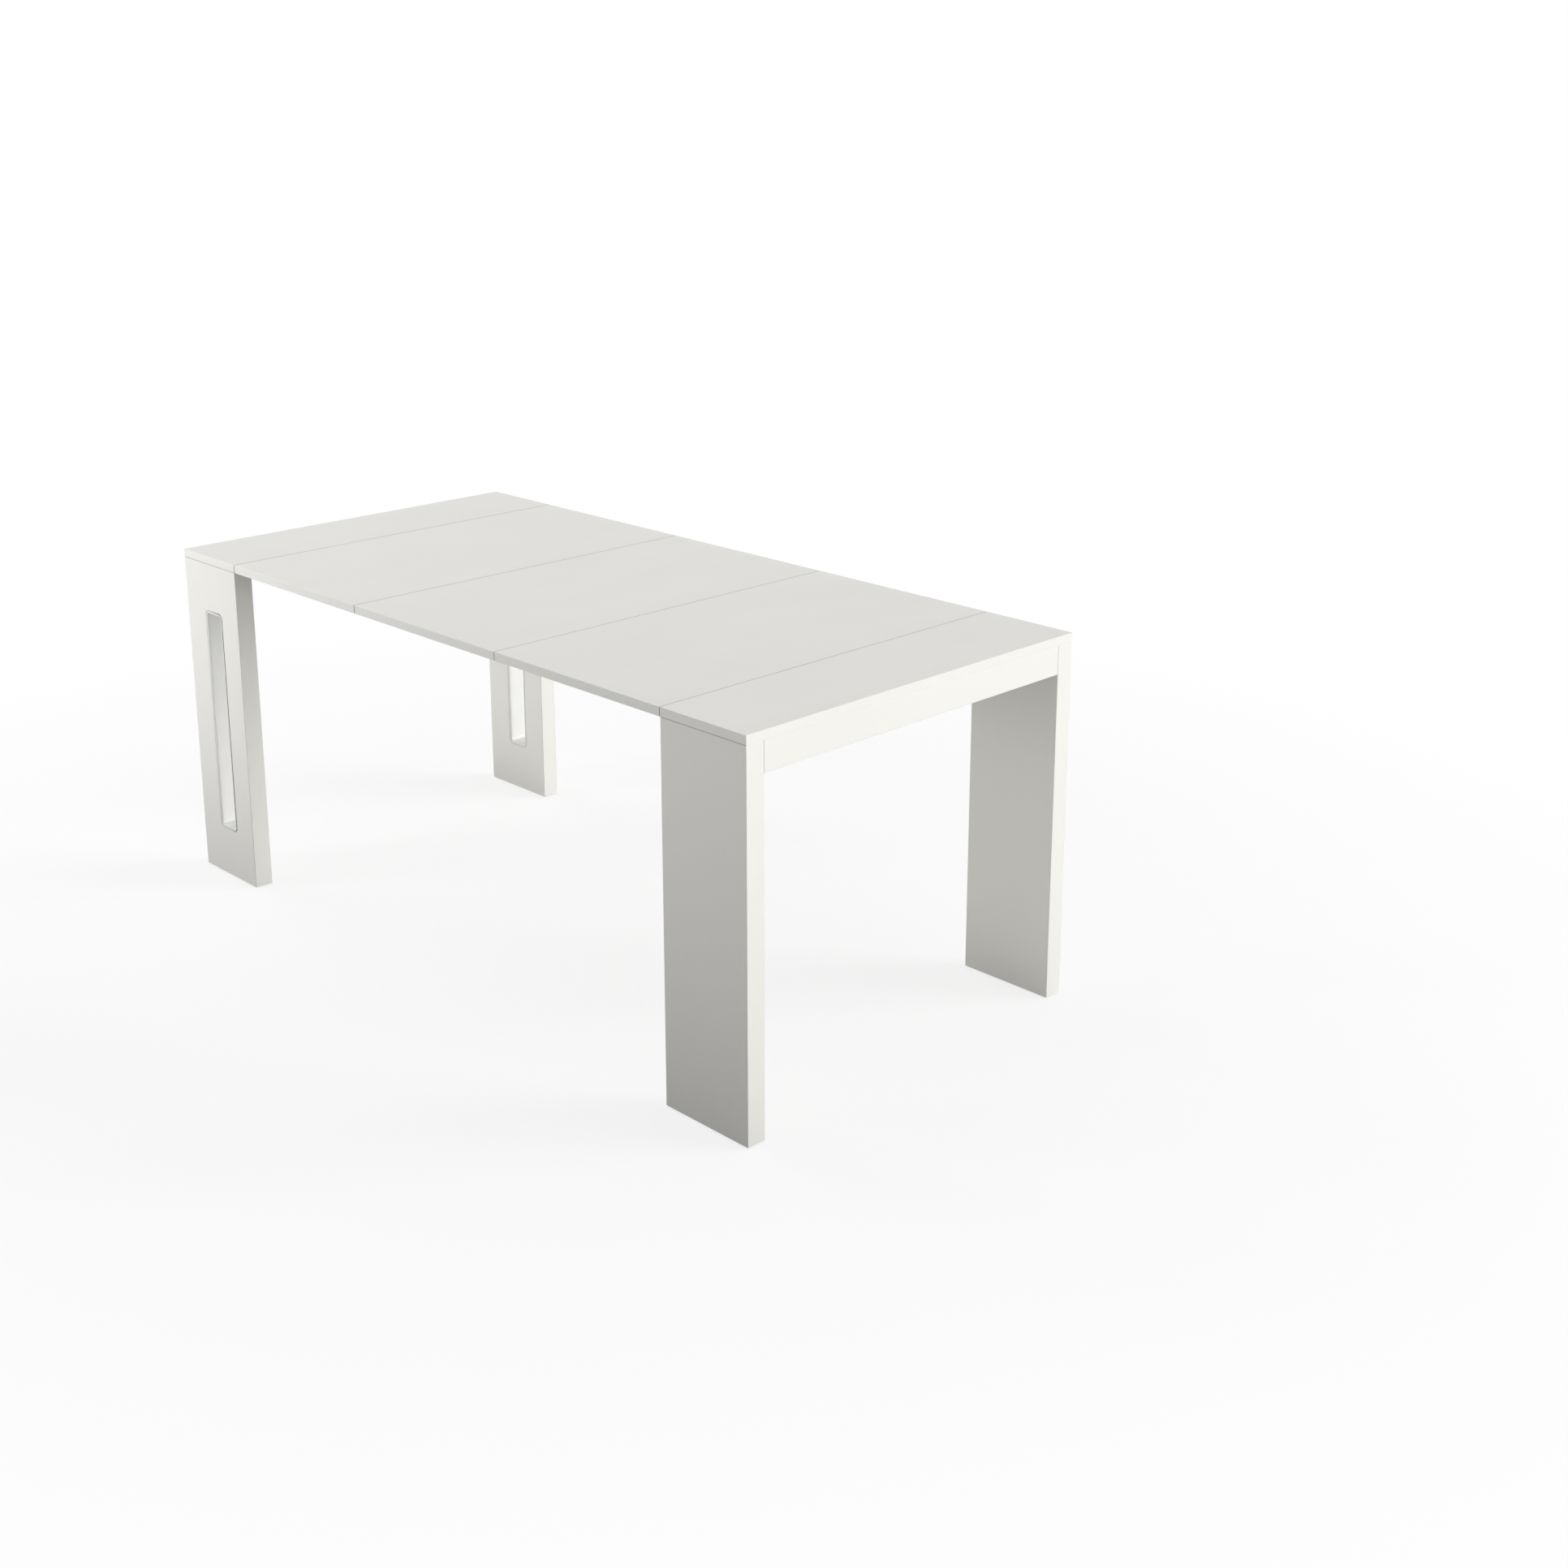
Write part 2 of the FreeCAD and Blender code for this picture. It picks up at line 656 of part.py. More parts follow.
bolt_length = f"(dims.bracket_wall + dims.lip_thickness + {key_thickness})"


def rail_bolt():
    return pan_screw("rail_bolt", "dims.bolt_head_radius", "dims.bolt_head_height", "dims.bolt_radius",
                     bolt_length, "dims.run_clearance")


def slot_nut():
    """A flat nut in the T-slot, with a plain hole for the bolt's shank."""
    box = Box("dims.nut_length", key_thickness, key_height)
    body = extrusion("slot_nut", [
        ("0", "0"), (key_thickness, "0"), (key_thickness, key_height), ("0", key_height),
    ], "dims.nut_length", middle=True)
    drill(body, "bolt_hole", box, "near", [("0", f"{key_height} / 2")], "dims.bolt_radius + dims.screw_fit",
          f"{key_thickness} + dims.overrun")
    return body


INTO = {"1": "to_left", "-1": "to_right"}  # a screw set against a face that looks to +Y goes to -Y
FLANGE = {"1": "up", "-1": "about"}  # an angle whose level leg runs to +Y, or to -Y


def product(first, second):
    """Two signs multiplied."""
    return str(int(first) * int(second))


def corner_angles(end, master):
    places = []
    for sign in SIDES.values():
        face = f"({sign}) * {inner_width} / 2"
        turn = FLANGE[product(sign, "-1")]
        places += [(end_x(end, x), face, bracket_base, turn) for x in bracket_spots]
    copies(f"{end}_corner_brackets", master, places)


def rail_angles(end, master):
    places = []
    face, way = rail_face(end)
    for sign in SIDES.values():
        turn = FLANGE[product(sign, way)]
        places += [(end_x(end, x), f"({sign}) * {face}", bracket_base, turn) for x in rail_bracket_spots]
    copies(f"{end}_rail_brackets", master, places)


def frame_screws(end, master):
    """Upright screws into the top board through every angle, and level ones into the legs."""
    places = []
    under_head = f"{top_underside} - dims.bracket_wall - dims.screw_head_height"
    for sign in SIDES.values():
        for x, y in top_screw_spots(end):
            places.append((end_x(end, x), f"({sign}) * ({y})", under_head, "up"))
        head = f"({sign}) * ({inner_width} / 2 - dims.bracket_wall - dims.screw_head_height)"
        for middle in bracket_spots:
            for x in two_about(middle, "dims.screw_spread"):
                turn = INTO[product(sign, "-1")]
                places.append((end_x(end, x), head, f"{top_underside} - dims.screw_offset", turn))
    copies(f"{end}_frame_screws", master, places)


def rail_bolts(end, master):
    places = []
    face, way = rail_face(end)
    for sign in SIDES.values():
        head = f"({sign}) * ({face} + ({way}) * (dims.bracket_wall + dims.bolt_head_height))"
        for x in rail_bracket_spots:
            places.append((end_x(end, x), head, rail_middle, INTO[product(sign, way)]))
    copies(f"{end}_rail_bolts", master, places)


def slot_nuts(end, master):
    places = []
    face, way = rail_face(end)
    for sign in SIDES.values():
        outward = product(sign, way)
        lip = f"({sign}) * ({face} - ({way}) * dims.lip_thickness)"
        for x in rail_bracket_spots:
            near_face = lip if outward == "-1" else f"{lip} - {key_thickness}"
            places.append((end_x(end, x), near_face, f"{rail_middle} - {key_height} / 2", "up"))
    copies(f"{end}_slot_nuts", master, places)


# Telescopic rails: T-slot members side by side, joined by nylon keys

def rail_profile():
    """One member's section, with a T-slot in each side."""
    width, height = "dims.rail_width", "dims.rail_height"
    lip, back = "dims.lip_thickness", "dims.lip_thickness + dims.groove_depth"
    mouth = two_about(f"{height} / 2", "dims.groove_mouth")
    groove = two_about(f"{height} / 2", "dims.groove_height")

    def far(depth):
        return f"{width} - ({depth})"

    return [
        ("0", "0"),
        (width, "0"),
        (width, mouth[0]),
        (far(lip), mouth[0]),
        (far(lip), groove[0]),
        (far(back), groove[0]),
        (far(back), groove[1]),
        (far(lip), groove[1]),
        (far(lip), mouth[1]),
        (width, mouth[1]),
        (width, height),
        ("0", height),
        ("0", mouth[1]),
        (lip, mouth[1]),
        (lip, groove[1]),
        (back, groove[1]),
        (back, groove[0]),
        (lip, groove[0]),
        (lip, mouth[0]),
        ("0", mouth[0]),
    ]


def rail(stage, side):
    body = extrusion(f"rail_{side}_{stage}", rail_profile(), rail_length)
    near_edge = f"-{rail_outer(stage)}" if side == "left" else f"{rail_outer(stage)} - dims.rail_width"
    place(body, rail_x(stage), near_edge, rail_base)
    nodes.append(body)


neck_length = "(dims.rail_gap + 2 * dims.lip_thickness + 2 * dims.run_clearance)"
slider_head = "(dims.groove_depth - 2 * dims.run_clearance)"
slider_width = f"({neck_length} + 2 * {slider_head})"


def rail_slider():
    """The key between two members: a head in each T-slot and a neck through both mouths."""
    neck_height = "dims.groove_mouth - 2 * dims.run_clearance"
    low, high = two_about(f"{key_height} / 2", neck_height)
    near, far = slider_head, f"{slider_head} + {neck_length}"
    return extrusion("rail_slider", [
        ("0", "0"),
        (near, "0"),
        (near, low),
        (far, low),
        (far, "0"),
        (slider_width, "0"),
        (slider_width, key_height),
        (far, key_height),
        (far, high),
        (near, high),
        (near, key_height),
        ("0", key_height),
    ], slider_length)


def rail_sliders(stage, master):
    """The keys of one member pair, at its -X ends, reaching into the members before it."""
    places = []
    for sign in SIDES.values():
        seam = f"({rail_outer(stage)} + dims.rail_gap / 2)"
        edge = f"({sign}) * {seam} - {slider_width} / 2"
        places.append((rail_x(stage), edge, f"{rail_middle} - {key_height} / 2", "up"))
    copies(f"rail_{stage}_sliders", master, places)


def rail_stop():
    return extrusion("rail_stop", [
        ("0", "0"), (slider_head, "0"), (slider_head, key_height), ("0", key_height),
    ], "dims.stop_length")


def rail_stops(stage, master):
    """The plugs at the +X ends of one member pair, in the grooves that face the next members."""
    places = []
    for side, sign in SIDES.items():
        inner = f"{rail_outer(stage)} - dims.rail_width + dims.lip_thickness + dims.run_clearance"
        edge = f"-({inner}) - {slider_head}" if side == "left" else inner
        start = f"{rail_x(stage)} + {rail_length} - dims.stop_length"
        places.append((start, edge, f"{rail_middle} - {key_height} / 2", "up"))
    copies(f"rail_{stage}_stops", master, places)


# The whole table

pin = eased_pin("edge_pin", "dims.pin_radius", "dims.pin_length")
dowel = eased_pin("frame_dowel", "dims.dowel_radius", "dims.dowel_length")
glide = foot_glide()
screw, bolt, nut = wood_screw(), rail_bolt(), slot_nut()
corner_master, rail_master = corner_angle(), rail_angle()
slider, stop = rail_slider(), rail_stop()

for end in ENDS:
    end_top(end)
    for side in SIDES:
        leg(end, side)
    apron(end)
    frame_dowels(end, dowel)
    foot_glides(end, glide)
    corner_angles(end, corner_master)
    rail_angles(end, rail_master)
    frame_screws(end, screw)
    rail_bolts(end, bolt)
    slot_nuts(end, nut)

for side in SIDES:
    slot_liner(side)

edge_pins("storage_top_pins", f"-{half_length} + dims.end_length", pin)
for number in LEAVES:
    leaf(number)
    edge_pins(f"leaf_{number}_pins", f"{leaf_x(number)} + dims.leaf_length", pin)

for stage in range(1, LAST_STAGE + 1):
    for side in SIDES:
        rail(stage, side)
    if stage > 1:
        rail_sliders(stage, slider)
    if stage < LAST_STAGE:
        rail_stops(stage, stop)

doc.recompute()

# Every feature has to be sound before anything is written

for thing in doc.Objects:
    if "Invalid" in thing.State or "Error" in thing.State:
        raise RuntimeError(f"{thing.Label} did not build: {thing.State}")
for node in nodes:
    if node.Shape.isNull() or not node.Shape.isValid():
        raise RuntimeError(f"{node.Label} has no sound shape")

os.makedirs("parts", exist_ok=True)
for node in nodes:
    node.Shape.exportStep(f"parts/{node.Label}.step")
print(f"{len(nodes)} nodes, {sum(len(node.Shape.Solids) for node in nodes)} solids")
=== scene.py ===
# %% [markdown]
# # A console table that draws out
#
# The table is two plain white ends joined by a pair of telescopic rails. Drawn apart, the ends leave a
# gap that three loose leaves fill. Each board, leg, rail and bracket is already there as a solid, so this
# lesson is about finish: lacquer, plastic, aluminium, zinc and beech, the small turned pieces, the light
# and the camera. Everything is in metres, with X along the table and Z up.

# %% Load the solids
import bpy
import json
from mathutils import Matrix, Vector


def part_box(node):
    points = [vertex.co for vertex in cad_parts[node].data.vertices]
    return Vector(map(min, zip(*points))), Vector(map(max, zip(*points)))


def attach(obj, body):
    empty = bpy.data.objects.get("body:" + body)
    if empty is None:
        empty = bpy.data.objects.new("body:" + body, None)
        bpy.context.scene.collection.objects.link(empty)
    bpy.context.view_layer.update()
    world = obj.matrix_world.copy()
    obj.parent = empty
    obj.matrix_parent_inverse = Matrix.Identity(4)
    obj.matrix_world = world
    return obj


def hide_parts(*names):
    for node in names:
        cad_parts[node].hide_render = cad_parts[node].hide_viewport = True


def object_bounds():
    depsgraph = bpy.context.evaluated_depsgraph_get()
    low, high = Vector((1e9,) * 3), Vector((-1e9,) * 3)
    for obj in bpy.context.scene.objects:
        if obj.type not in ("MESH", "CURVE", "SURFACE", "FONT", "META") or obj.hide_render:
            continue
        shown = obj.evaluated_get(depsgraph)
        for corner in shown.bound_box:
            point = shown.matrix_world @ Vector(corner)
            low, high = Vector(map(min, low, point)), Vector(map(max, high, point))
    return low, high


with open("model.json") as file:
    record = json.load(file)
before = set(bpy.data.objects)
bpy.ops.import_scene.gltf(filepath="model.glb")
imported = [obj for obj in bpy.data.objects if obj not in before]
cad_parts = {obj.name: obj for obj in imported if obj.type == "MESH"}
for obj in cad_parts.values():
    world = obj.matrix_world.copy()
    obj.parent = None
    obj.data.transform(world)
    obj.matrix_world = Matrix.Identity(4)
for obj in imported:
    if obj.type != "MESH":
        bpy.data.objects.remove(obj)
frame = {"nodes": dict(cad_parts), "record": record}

cad_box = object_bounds()
solids = frame["nodes"]
print(len(solids), "solids in the box", [[round(c, 3) for c in corner] for corner in cad_box])

# %% [markdown]
# ## Sorting the solids by finish
#
# The record says which material slot each solid belongs to. Grouping the solids by slot first means that
# every finish below is made once and given to all the pieces that share it.

# %% Sort by slot
import json
import math

import bmesh
import bpy
from mathutils import Matrix, Vector

pieces_in = {}
for entry in frame["record"]["subparts"]:
    pieces_in.setdefault(entry["material_slot"], []).append(entry["node"])
body_of = {node: body for body, members in frame["record"]["behaviour"]["bodies"].items() for node in members}
for slot, members in sorted(pieces_in.items()):
    print(slot, len(members))

# %% [markdown]
# ## Writing a finish as arithmetic
#
# A finish is a little circuit of nodes, and circuits are hard to read in code. Wrapping one output in a
# class that knows plus, minus and times lets a finish be written as a formula: each operator adds one
# Math node. Every other node comes from one method, which sets the node's own settings first and then its
# sockets.


# %% The signal class
class Signal:
    """One output in a node tree. Arithmetic on it adds Math nodes."""

    def __init__(self, tree, socket):
        self.tree = tree
        self.socket = socket

    def node(self, kind, settings, sockets, output=0):
        """Any other node, by type, settings, and the values or links of its sockets."""
        made = self.tree.nodes.new(kind)
        for name, setting in settings.items():
            setattr(made, name, setting)
        for name, given in sockets.items():
            put(self.tree, made.inputs[name], given)
        return Signal(self.tree, made.outputs[output])

    def maths(self, operation, first, second):
        return self.node("ShaderNodeMath", {"operation": operation}, {0: first, 1: second})

    def __add__(self, other):
        return self.maths("ADD", self, other)

    def __radd__(self, other):
        return self.maths("ADD", other, self)

    def __sub__(self, other):
        return self.maths("SUBTRACT", self, other)

    def __rsub__(self, other):
        return self.maths("SUBTRACT", other, self)

    def __mul__(self, other):
        return self.maths("MULTIPLY", self, other)

    def __rmul__(self, other):
        return self.maths("MULTIPLY", other, self)

    def at_least(self, other):
        return self.maths("MAXIMUM", self, other)

    def at_most(self, other):
        return self.maths("MINIMUM", self, other)

    def size(self):
        return self.node("ShaderNodeMath", {"operation": "ABSOLUTE"}, {0: self})

    def root(self):
        return self.node("ShaderNodeMath", {"operation": "SQRT"}, {0: self})

    def parts(self):
        """The three numbers of a vector."""
        return [self.node("ShaderNodeSeparateXYZ", {}, {"Vector": self}, output=axis) for axis in "XYZ"]


def put(tree, socket, given):
    """Links a signal to a socket, or sets a plain value on it."""
    if isinstance(given, Signal):
        tree.links.new(given.socket, socket)
    else:
        socket.default_value = given


print("signal class ready")

# %% Helpers for a finish
NOISE_RANGE = (0.3, 0.7)  # what a noise covers, nearly always


def new_finish(name):
    """A fresh material, the places on its pieces as a signal, and its shader."""
    material = bpy.data.materials.new(name)
    material.use_nodes = True
    tree = material.node_tree
    coordinates = tree.nodes.new("ShaderNodeTexCoord")
    return material, Signal(tree, coordinates.outputs["Object"]), tree.nodes["Principled BSDF"]


def dress(shader, place, sockets):
    """Sets or links the shader's own sockets."""
    for name, given in sockets.items():
        put(place.tree, shader.inputs[name], given)


def noise(place, scale, detail=2.0):
    """Soft random blotches, so many to the metre, with values about a half."""
    return place.node("ShaderNodeTexNoise", {}, {"Vector": place, "Scale": scale, "Detail": detail})


def stretched(place, x, y, z):
    """The places, drawn out along one or two axes."""
    return place.node("ShaderNodeMapping", {}, {"Vector": place, "Scale": (x, y, z)})


def between(place, share, first, second):
    """A colour between two, by a signal that runs from 0 to 1."""
    return place.node("ShaderNodeMix", {"data_type": "RGBA"}, {0: share, 6: first, 7: second}, output=2)


def spread(place, signal, low, high):
    """A signal's middle stretched out to 0 and 1 and held there."""
    limits = {"From Min": low, "From Max": high}
    return place.node("ShaderNodeMapRange", {"clamp": True}, {"Value": signal, **limits})


def cloud(place, scale, detail):
    """Noise that runs from 0 to 1."""
    return spread(place, noise(place, scale, detail), *NOISE_RANGE)


def relief(place, height, strength, depth):
    """A bump for the shader's Normal socket."""
    return place.node("ShaderNodeBump", {}, {"Height": height, "Strength": strength, "Distance": depth})


print("finish helpers ready, for noise from", *NOISE_RANGE)

# %% [markdown]
# ## White lacquer on the boards
#
# Tops, leaves, legs and aprons are board with a sprayed white lacquer, smooth and satin. A flat white
# would look like paper. Real lacquer has things that the eye picks up without noticing: a tint that
# drifts by a percent or so over a hand's breadth, an orange-peel ripple from the spray gun, a gloss that
# is a little uneven where it has been wiped, and a speck of dust under the coat every few inches.
# Undersides get a thinner coat, so they are duller; the surface's own normal tells which way a face
# looks.
#
# Where two boards meet, the eased edges make a fine groove. The grooves lie at known places, so a mask
# measured from them darkens the lacquer there with painted shade and a little dust: at the ends of the
# leaves, under the tops and beside the aprons. The painted lines towards the storage end are a little
# wider. A face that lies in the plane of a joint is a board's own edge, not a groove, so it stays clean;
# the normal tells that too. On the table's two end faces the painted shade under the top is left off.
#
# The gap round each sleeve is darker with painted shade, because it is deep. The painted shade is
# strongest on the side towards the middle of the table and faint on the other side, following the way the
# light falls. On the inner face of a leg it is nearly left out.

# %% Joint lines
# painted shade, with a little dust, for the joint lines between boards
PAINTED_GROOVE_SHADE_AND_DUST = (0.48, 0.47, 0.443, 1)
LEAF_REACH = 0.0019  # half the width of a painted shade line, at a leaf's end
BOARD_REACH = 0.0012  # the same between other boards
DARK_SHARE = 0.5  # of a line's reach, the part that is fully dark
END_FACE_SHADE_FADE = 0.7  # of a line's reach, where the painted shade on the end faces begins to fade out
SEAM_MIDDLE = 0.93  # how much the painted lines are narrowed, at the table's middle
SEAM_SLOPE = 0.20  # and how much more, a metre on towards the moving end
APRON_FADE = 0.001
FACING_RANGE = (0.75, 0.95)  # of the normal's part along an axis
top_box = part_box("storage_end_top")
leaf_ends = [abs(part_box(leaf)[0][0]) for leaf in ("leaf_1", "leaf_2")]
apron_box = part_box("moving_end_apron")
end_plane = apron_box[1][0]


def groove(place, distance, reach):
    """One on a joint line, fading to nothing at the groove's reach."""
    return 1 - spread(place, distance.size(), DARK_SHARE * reach, reach)


def facing_share(place, axis):
    """One on faces that look along an axis, either way."""
    facing = place.node("ShaderNodeNewGeometry", {}, {}, output="True Normal")
    return spread(place, facing.parts()["XYZ".index(axis)].size(), *FACING_RANGE)


def painted_joint_shade(place):
    """All the painted shade lines at the joints between boards, kept off the faces that lie in the plane of a
    joint.
    """
    x, y, z = place.parts()
    apron_foot, apron_head = apron_box[0][2], apron_box[1][2]
    line_narrowing = SEAM_MIDDLE + SEAM_SLOPE * x
    leaf_lines = [groove(place, (x.size() - end) * line_narrowing, LEAF_REACH) for end in leaf_ends]
    ends = (1 - facing_share(place, "X")) * leaf_lines[0].at_least(leaf_lines[1])
    # near the table's end faces the painted shade under the top is left off
    wiped = spread(place, x.size(), end_plane - BOARD_REACH, end_plane - END_FACE_SHADE_FADE * BOARD_REACH)
    on_an_end = spread(place, x.size(), leaf_ends[0], leaf_ends[0] + BOARD_REACH) * (1 - wiped)
    under = (1 - facing_share(place, "Z")) * on_an_end * groove(place, z - top_box[0][2], BOARD_REACH)
    beside = facing_share(place, "X") * groove(place, y.size() - apron_box[1][1], BOARD_REACH)
    above_foot = spread(place, z, apron_foot - APRON_FADE, apron_foot)
    below_head = 1 - spread(place, z, apron_head, apron_head + APRON_FADE)
    return ends.at_least(under).at_least(beside * above_foot * below_head)


print("seams at", [round(end, 4) for end in leaf_ends], "either side of the middle")

# %% The gap round a sleeve
# painted shade for the deep gap round a sleeve
SLEEVE_SHADE = (0.15, 0.146, 0.135, 1)
SLEEVE_REACH = 0.0022
SLEEVE_CORNER = 0.0117  # radius of the sleeve's corners
OUTER_SIDE_SHADE = 0.15  # what is left of the painted shade on the side away from the middle of the table
INNER_FACE = 0.10  # and on the leg's inner face
sleeve_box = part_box("slot_liner_left")
sleeve_faces = sorted(abs(corner[1]) for corner in sleeve_box)


def sleeve_outline(x, z):
    """How far a place is outside the rounded outline of the sleeves in the slots."""
    low, high = sleeve_box
    beyond_x = (x - (low[0] + high[0]) / 2).size() - (high[0] - low[0]) / 2 + SLEEVE_CORNER
    beyond_z = (z - (low[2] + high[2]) / 2).size() - (high[2] - low[2]) / 2 + SLEEVE_CORNER
    reach_x, reach_z = beyond_x.at_least(0), beyond_z.at_least(0)
    round_corner = (reach_x * reach_x + reach_z * reach_z).root()
    return round_corner + beyond_x.at_least(beyond_z).at_most(0) - SLEEVE_CORNER


def painted_sleeve_gap_shade(place):
    """One in the painted shade round a sleeve, less on the side away from the middle and on the leg's inner
    face.
    """
    x, y, z = place.parts()
    shade_towards_middle = OUTER_SIDE_SHADE + (1 - OUTER_SIDE_SHADE) * spread(place, x, sleeve_box[0][0], sleeve_box[1][0])
    outer_face = INNER_FACE + (1 - INNER_FACE) * spread(place, y.size(), *sleeve_faces)
    return groove(place, sleeve_outline(x, z), SLEEVE_REACH) * shade_towards_middle * outer_face


print("sleeve", [round(high - low, 4) for low, high in zip(*sleeve_box)])

# %% Lacquer
LACQUER_COOL = (0.804, 0.797, 0.762, 1)
LACQUER_WARM = (0.816, 0.806, 0.768, 1)
LACQUER_UNDERSIDE = (0.745, 0.736, 0.702, 1)
SPECK_TONE = (0.66, 0.65, 0.615, 1)
SPECKS_TO_THE_METRE = 55.0
SPECK_EDGE = (0.010, 0.026)  # of the distance between specks
DRIFT_SCALE = 3.5
PEEL_SCALE = 380.0
RIPPLE_SCALE = 110.0
PEEL_DEPTH = 0.0004
WIPE_STRETCH = (6.0, 2.0, 6.0)  # longer across the table
WIPE_RANGE = (0.35, 0.7)
DOWNWARD_RANGE = (0.6, 0.9)


def specks(place):
    """One on a speck of dust: wherever a random point happens to lie just at the surface."""
    points = {"Vector": place, "Scale": SPECKS_TO_THE_METRE}
    distance = place.node("ShaderNodeTexVoronoi", {}, points, output="Distance")
    return 1 - spread(place, distance, *SPECK_EDGE)


def make_lacquer():
    material, place, shader = new_finish("white_lacquer")
    drift = cloud(place, DRIFT_SCALE, 3.0)
    peel = noise(place, PEEL_SCALE, 2.0) + 0.9 * noise(place, RIPPLE_SCALE, 2.0)
    speck = specks(place)
    wiped = spread(place, noise(stretched(place, *WIPE_STRETCH), 2.0, 4.0), *WIPE_RANGE)
    facing = place.node("ShaderNodeNewGeometry", {}, {}, output="True Normal")
    up = place.node("ShaderNodeSeparateXYZ", {}, {"Vector": facing}, output="Z")
    under = spread(place, 0 - up, *DOWNWARD_RANGE)
    top_coat = between(place, drift, LACQUER_COOL, LACQUER_WARM)
    coat = between(place, speck, between(place, under, top_coat, LACQUER_UNDERSIDE), SPECK_TONE)
    # painted shade, with a little dust, darkens the joint lines
    coat_with_joint_shade = between(place, painted_joint_shade(place), coat, PAINTED_GROOVE_SHADE_AND_DUST)
    # painted shade in the deep gap round each sleeve
    painted_gap_shade = facing_share(place, "Y") * painted_sleeve_gap_shade(place)
    dress(shader, place, {
        "Base Color": between(place, painted_gap_shade, coat_with_joint_shade, SLEEVE_SHADE),
        "Roughness": 0.36 + 0.10 * wiped + 0.16 * under,
        "Normal": relief(place, peel + speck, 0.14, PEEL_DEPTH),
        "Specular IOR Level": 0.42,
    })
    return material


lacquer = make_lacquer()
print(lacquer.name, len(lacquer.node_tree.nodes), "nodes")

# %% [markdown]
# ## Moulded plastics
#
# Three plastics: the white sleeve that lines each slot, the grey nylon glides under the legs and the
# black nylon keys and stops inside the rails. Moulded plastic takes its look from the steel mould it came
# out of: a fine even spark-eroded grain, which is a bump, and a gloss that follows that grain. The sleeve
# also has its half of the painted shade in the gap that runs round it.

# %% Plastics
SLEEVE_TINTS = (0.78, 0.778, 0.76, 1), (0.80, 0.796, 0.775, 1)
GLIDE_TINTS = (0.40, 0.40, 0.39, 1), (0.47, 0.465, 0.45, 1)
KEY_TINTS = (0.016, 0.016, 0.017, 1), (0.028, 0.028, 0.029, 1)
MOULD_CLOUD_SCALE = 22.0
MOULD_GRAIN_DEPTH = 0.0002


def make_plastic(name, tints, grain_scale, roughness, in_slot=False):
    material, place, shader = new_finish(name)
    grain = noise(place, grain_scale, 3.0)
    tint = between(place, cloud(place, MOULD_CLOUD_SCALE, 3.0), *tints)
    if in_slot:
        # painted shade in the gap round the sleeve
        tint = between(place, painted_sleeve_gap_shade(place), tint, SLEEVE_SHADE)
    dress(shader, place, {
        "Base Color": tint,
        "Roughness": roughness + 0.12 * grain,
        "Normal": relief(place, grain, 0.10, MOULD_GRAIN_DEPTH),
    })
    return material


sleeve_plastic = make_plastic(
    "white_sleeve_plastic", SLEEVE_TINTS, grain_scale=900.0, roughness=0.38, in_slot=True)
glide_nylon = make_plastic("grey_glide_nylon", GLIDE_TINTS, grain_scale=1200.0, roughness=0.48)
key_nylon = make_plastic("black_key_nylon", KEY_TINTS, grain_scale=1400.0, roughness=0.40)
print(sleeve_plastic.name, glide_nylon.name, key_nylon.name)

# %% [markdown]
# ## Anodised aluminium for the rails
#
# The rail members are pushed through a die, which leaves fine lines along their whole length, and then
# anodised to a soft silver. The lines are noise drawn out along X. They belong in the roughness and the
# bump, with only a trace in the colour, because it is the glint that streaks and not the metal.

# %% Aluminium
ALUMINIUM_TINTS = (0.66, 0.665, 0.67, 1), (0.73, 0.735, 0.74, 1)
DIE_LINE_STRETCH = (1.5, 900.0, 900.0)
BLOOM_SCALE = 14.0
DIE_LINE_DEPTH = 0.0002


def make_aluminium():
    material, place, shader = new_finish("anodised_aluminium")
    die_lines = noise(stretched(place, *DIE_LINE_STRETCH), 1.0, 3.0)
    bloom = cloud(place, BLOOM_SCALE, 3.0)
    tone = spread(place, die_lines, *NOISE_RANGE)
    dress(shader, place, {
        "Base Color": between(place, tone, *ALUMINIUM_TINTS),
        "Metallic": 1.0,
        "Roughness": 0.30 + 0.10 * bloom + 0.10 * die_lines,
        "Normal": relief(place, die_lines, 0.18, DIE_LINE_DEPTH),
    })
    return material


aluminium = make_aluminium()
print(aluminium.name, len(aluminium.node_tree.nodes), "nodes")

# %% [markdown]
# ## Zinc on the brackets and screws
#
# The angles, screws, bolts and slot nuts are steel with a thin zinc plating. Zinc is greyer than
# aluminium, with a faint blue and straw cloud from the bath, and the stamped angles show rolling
# scratches.

# %% Zinc
ZINC_TINTS = (0.52, 0.54, 0.57, 1), (0.62, 0.60, 0.54, 1)
BATH_SCALE = 60.0
SCRATCH_STRETCH = (60.0, 1400.0, 700.0)
SCRATCH_DEPTH = 0.0001


def make_zinc(name, roughness):
    material, place, shader = new_finish(name)
    bath = cloud(place, BATH_SCALE, 4.0)
    scratches = noise(stretched(place, *SCRATCH_STRETCH), 1.0, 4.0)
    dress(shader, place, {
        "Base Color": between(place, bath, *ZINC_TINTS),
        "Metallic": 1.0,
        "Roughness": roughness + 0.14 * bath + 0.10 * scratches,
        "Normal": relief(place, scratches, 0.12, SCRATCH_DEPTH),
    })
    return material


bracket_zinc = make_zinc("zinc_plated_bracket", roughness=0.30)
screw_zinc = make_zinc("zinc_plated_screw", roughness=0.24)
print(bracket_zinc.name, screw_zinc.name)

# %% [markdown]
# ## Beech for the dowels and edge pins
#
# Dowels are bare beech: pale pinkish brown, close grain along the length, with short dark flecks. The
# grain is a cloud drawn out along X, which is the way the edge pins lie.

